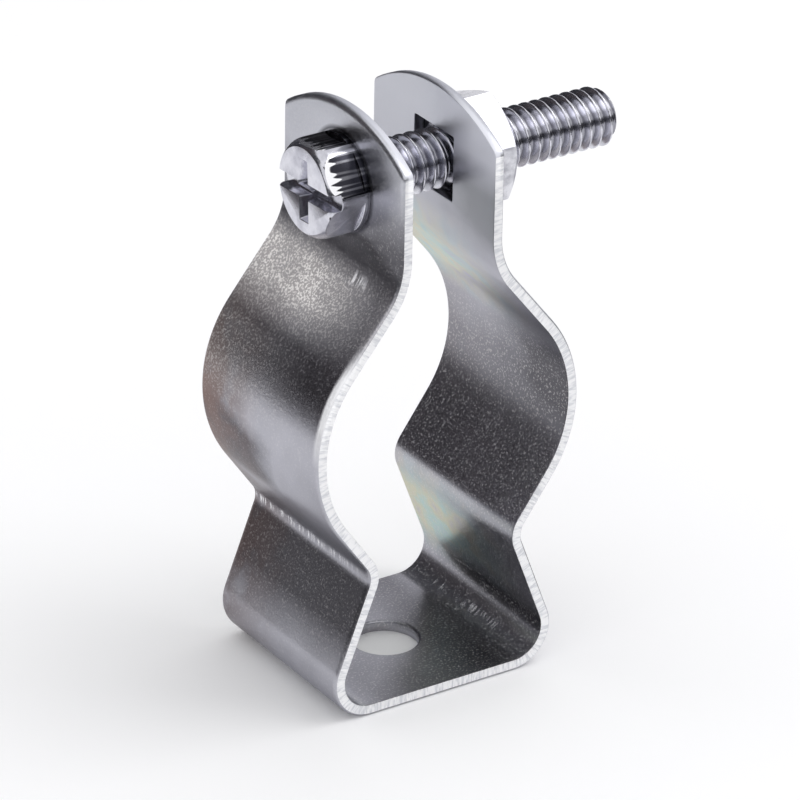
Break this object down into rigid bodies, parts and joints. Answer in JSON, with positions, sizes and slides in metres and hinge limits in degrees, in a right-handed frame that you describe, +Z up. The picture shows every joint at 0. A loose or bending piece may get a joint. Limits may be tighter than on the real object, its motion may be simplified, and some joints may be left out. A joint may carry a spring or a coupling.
{
  "type": "conduit hanger",
  "caption": "Folded steel strap hanger that clamps round a pipe or conduit, with a screw and nut through its two ears.",
  "frame": {"origin": "centre of the base hole on the underside of the base", "axes": "+Z up from the base to the ears, +X along the screw from its head to its nut, +Y across the strap"},
  "size_m": [0.0415, 0.0222, 0.0633],
  "materials": {
    "plated_strip": "zinc plated",
    "plated_screw": "bright zinc plated",
    "plated_nut": "bright zinc plated"
  },
  "bodies": {
    "strap": {"hanger_strap": "plated_strip"},
    "screw": {"clamp_screw": "plated_screw"},
    "nut": {"hex_nut": "plated_nut"}
  },
  "joints": [
    {"name": "screw_turn", "type": "hinge", "parent": "strap", "child": "screw", "pos_m": [0, 0, 0.0552], "axis": [1, 0, 0], "range_deg": [-3960, 0]},
    {"name": "nut_travel", "type": "slide", "parent": "strap", "child": "nut", "axis": [1, 0, 0], "range_m": [0, 0.01397]}
  ],
  "couplings": [
    {"joint": "nut_travel", "follows": "screw_turn", "m_per_rad": -0.00020213}
  ]
}
